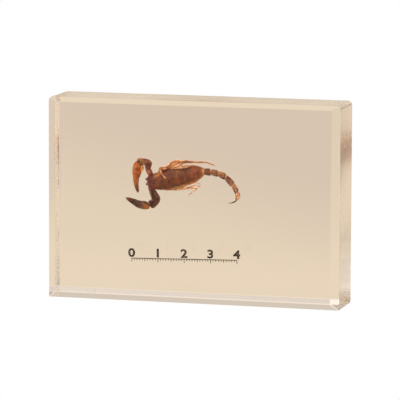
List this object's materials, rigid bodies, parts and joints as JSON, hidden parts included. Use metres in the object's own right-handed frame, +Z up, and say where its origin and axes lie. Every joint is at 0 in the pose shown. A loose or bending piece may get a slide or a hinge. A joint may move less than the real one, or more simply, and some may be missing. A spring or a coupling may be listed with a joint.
{
  "type": "scorpion in resin block",
  "caption": "Dried scorpion cast in an upright rectangular block of clear resin with a bevelled front face.",
  "frame": {"origin": "middle of the base, halfway between the front and the back of the block", "axes": "+X along the block's long side, to the right of someone facing its front; +Y from the front face to the back; +Z up"},
  "size_m": [0.11, 0.022, 0.0745],
  "materials": {
    "resin": "polished clear casting resin with a slight warm tint",
    "cuticle": "dried brown cuticle, semi-gloss, with lighter orange claws and legs"
  },
  "bodies": {
    "root": {"resin_front": "resin", "resin_back": "resin", "scorpion": "cuticle"}
  },
  "joints": []
}
